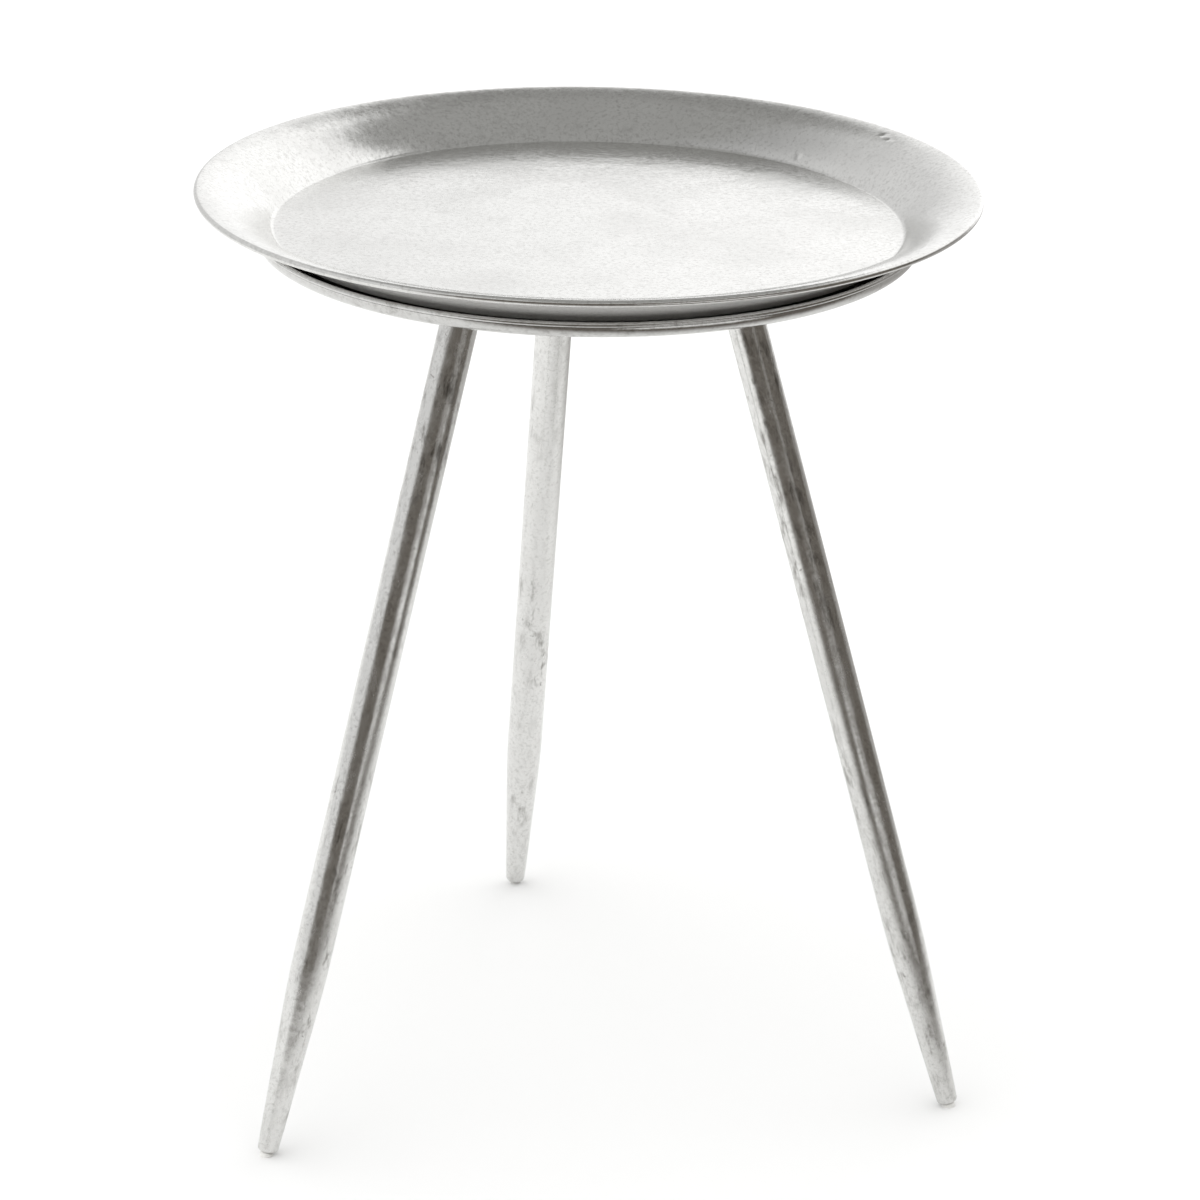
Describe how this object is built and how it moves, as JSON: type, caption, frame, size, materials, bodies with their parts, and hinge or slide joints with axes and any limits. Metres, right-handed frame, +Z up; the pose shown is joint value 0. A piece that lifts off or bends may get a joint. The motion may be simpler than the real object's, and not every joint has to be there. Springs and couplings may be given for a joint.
{
  "type": "tray side table",
  "caption": "Round tray side table: a flared lift-off metal tray nested in a shallow pan on three splayed, tapered tubular legs.",
  "frame": {"origin": "on the floor, on the table's vertical axis, midway between the three feet", "axes": "+Z up along the table's axis; +Y towards the back leg; +X to the right as seen from the front"},
  "size_m": [0.38, 0.3939, 0.46],
  "materials": {
    "tray_metal": "spun sheet with an antiqued silver-coloured nickel plating, softly mottled, satin",
    "pan_metal": "spun sheet with the tray's silver-coloured plating, a little glossier",
    "leg_metal": "drawn tube, silver-coloured antiqued plating with grey mottling",
    "zinc_steel": "zinc-plated steel",
    "bracket_iron": "cast, silver painted, slightly grainy",
    "fastener_steel": "bright zinc-plated fastener steel",
    "pad_rubber": "matte black rubber",
    "glide_plastic": "milky uncoloured nylon"
  },
  "bodies": {
    "stand": {"support_pan": "pan_metal", "tray_pad_front": "pad_rubber", "tray_pad_right": "pad_rubber", "tray_pad_left": "pad_rubber", "reinforcing_plate": "zinc_steel", "leg_back": "leg_metal", "leg_left": "leg_metal", "leg_right": "leg_metal", "leg_insert_back": "zinc_steel", "leg_insert_left": "zinc_steel", "leg_insert_right": "zinc_steel", "leg_stud_back": "fastener_steel", "leg_stud_left": "fastener_steel", "leg_stud_right": "fastener_steel", "foot_glide_back": "glide_plastic", "foot_glide_left": "glide_plastic", "foot_glide_right": "glide_plastic", "leg_bracket_back": "bracket_iron", "leg_bracket_left": "bracket_iron", "leg_bracket_right": "bracket_iron", "bracket_bolt_back_a": "fastener_steel", "bracket_bolt_back_b": "fastener_steel", "bracket_bolt_left_a": "fastener_steel", "bracket_bolt_left_b": "fastener_steel", "bracket_bolt_right_a": "fastener_steel", "bracket_bolt_right_b": "fastener_steel", "bracket_nut_back_a": "fastener_steel", "bracket_nut_back_b": "fastener_steel", "bracket_nut_left_a": "fastener_steel", "bracket_nut_left_b": "fastener_steel", "bracket_nut_right_a": "fastener_steel", "bracket_nut_right_b": "fastener_steel"},
    "tray": {"tray": "tray_metal"}
  },
  "joints": [
    {"name": "tray_lift", "type": "slide", "parent": "stand", "child": "tray", "axis": [0, 0, 1], "range_m": [0, 0.12]}
  ]
}
